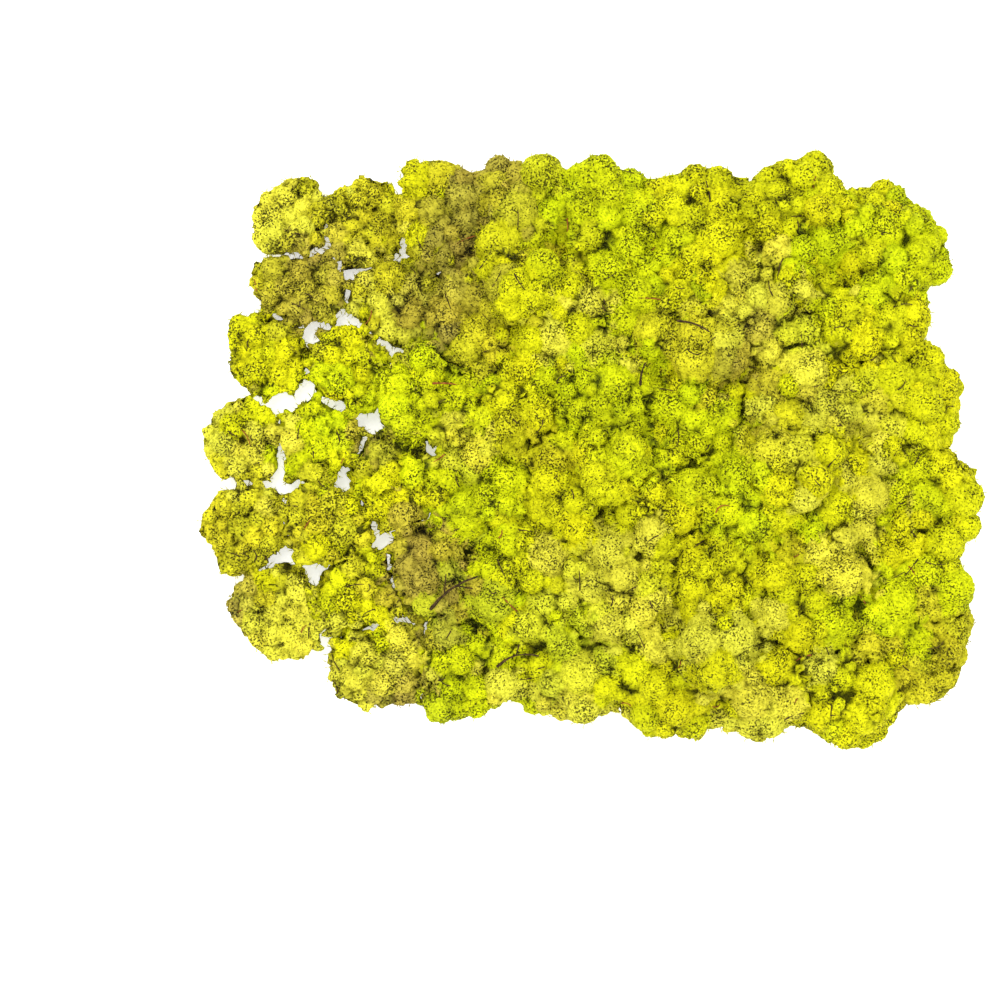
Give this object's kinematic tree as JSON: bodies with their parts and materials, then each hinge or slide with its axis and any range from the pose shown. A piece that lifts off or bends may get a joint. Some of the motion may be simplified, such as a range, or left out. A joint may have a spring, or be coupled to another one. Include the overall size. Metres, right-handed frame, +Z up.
{
  "type": "reindeer moss clump",
  "caption": "Mat of dried, dyed reindeer lichen for decoration: lobed tufts pressed together, thick at one end and thinning with gaps at the other, a few twigs caught on top.",
  "frame": {"origin": "middle of the bounding box in plan, on the table under the clump", "axes": "X runs along the clump from its thin end to its thick end, Y runs from its front edge to its back edge, Z is up"},
  "size_m": [0.6202, 0.4748, 0.078],
  "materials": {
    "moss_bright": "dyed lichen, bright yellow-green, matt",
    "moss_pale": "dyed lichen, paler yellow, matt",
    "moss_green": "dyed lichen, lime green, matt",
    "moss_olive": "lichen that took little dye, olive brown, matt",
    "twig_bark": "thin dry twig with bark, dark brown"
  },
  "bodies": {
    "root": {"bright_tuft_01": "moss_bright", "bright_tuft_02": "moss_bright", "bright_tuft_03": "moss_bright", "bright_tuft_04": "moss_bright", "bright_tuft_05": "moss_bright", "bright_tuft_06": "moss_bright", "bright_tuft_07": "moss_bright", "bright_tuft_08": "moss_bright", "bright_tuft_09": "moss_bright", "bright_tuft_10": "moss_bright", "bright_tuft_11": "moss_bright", "bright_tuft_12": "moss_bright", "bright_tuft_13": "moss_bright", "bright_tuft_14": "moss_bright", "bright_tuft_15": "moss_bright", "bright_tuft_16": "moss_bright", "bright_tuft_17": "moss_bright", "bright_tuft_18": "moss_bright", "bright_tuft_19": "moss_bright", "bright_tuft_20": "moss_bright", "bright_tuft_21": "moss_bright", "bright_tuft_22": "moss_bright", "brown_twig": "twig_bark", "curved_twig": "twig_bark", "dark_stick": "twig_bark", "forked_twig": "twig_bark", "green_tuft_01": "moss_green", "green_tuft_02": "moss_green", "green_tuft_03": "moss_green", "green_tuft_04": "moss_green", "green_tuft_05": "moss_green", "green_tuft_06": "moss_green", "green_tuft_07": "moss_green", "green_tuft_08": "moss_green", "green_tuft_09": "moss_green", "green_tuft_10": "moss_green", "olive_tuft_01": "moss_olive", "olive_tuft_02": "moss_olive", "olive_tuft_03": "moss_olive", "olive_tuft_04": "moss_olive", "olive_tuft_05": "moss_olive", "olive_tuft_06": "moss_olive", "olive_tuft_07": "moss_olive", "olive_tuft_08": "moss_olive", "olive_tuft_09": "moss_olive", "pale_tuft_01": "moss_pale", "pale_tuft_02": "moss_pale", "pale_tuft_03": "moss_pale", "pale_tuft_04": "moss_pale", "pale_tuft_05": "moss_pale", "pale_tuft_06": "moss_pale", "pale_tuft_07": "moss_pale", "pale_tuft_08": "moss_pale", "pale_tuft_09": "moss_pale", "pale_tuft_10": "moss_pale", "pale_tuft_11": "moss_pale", "pale_tuft_12": "moss_pale", "pale_tuft_13": "moss_pale", "red_stick": "twig_bark"}
  },
  "joints": []
}
